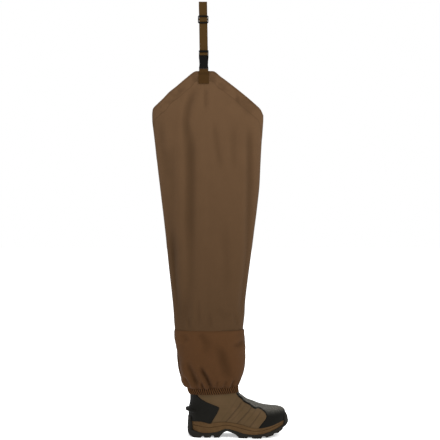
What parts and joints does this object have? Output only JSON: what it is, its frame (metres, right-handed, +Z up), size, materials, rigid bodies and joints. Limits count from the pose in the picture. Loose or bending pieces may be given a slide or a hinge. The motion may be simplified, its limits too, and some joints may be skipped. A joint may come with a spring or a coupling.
{
  "type": "hip wader",
  "caption": "Hip-high wader for the right leg: tapering fabric leg with a peaked top, gathered gaiter, ankle-fit rubber boot on a lugged sole, and a buckled belt strap",
  "frame": {"origin": "on the floor, at the middle of the flat lug under the heel", "axes": "+Z up along the leg, +X towards the toe, +Y towards the inner side of the right leg"},
  "size_m": [0.4092, 0.129, 1.2915],
  "materials": {
    "outsole_rubber": "matt black moulded rubber",
    "midsole_rubber": "matt brown foamed rubber",
    "insole_felt": "dark felt",
    "boot_rubber": "satin brown rubber",
    "toe_rubber": "pebbled black rubber",
    "heel_rubber": "smooth black rubber",
    "leg_fabric": "brown woven cloth",
    "gaiter_fabric": "heavy dark brown woven cloth",
    "hem_elastic": "gathered elastic band",
    "tab_webbing": "ribbed webbing",
    "buckle_plastic": "matt black plastic",
    "strap_webbing": "ribbed webbing"
  },
  "bodies": {
    "root": {"outsole": "outsole_rubber", "midsole": "midsole_rubber", "insole": "insole_felt", "boot_upper": "boot_rubber", "toe_cap": "toe_rubber", "heel_counter": "heel_rubber", "shaft": "leg_fabric", "gaiter": "gaiter_fabric", "gaiter_hem": "hem_elastic", "strap_tab": "tab_webbing", "buckle_female": "buckle_plastic", "buckle_male": "buckle_plastic", "triglide": "buckle_plastic", "belt_strap": "strap_webbing"}
  },
  "joints": []
}
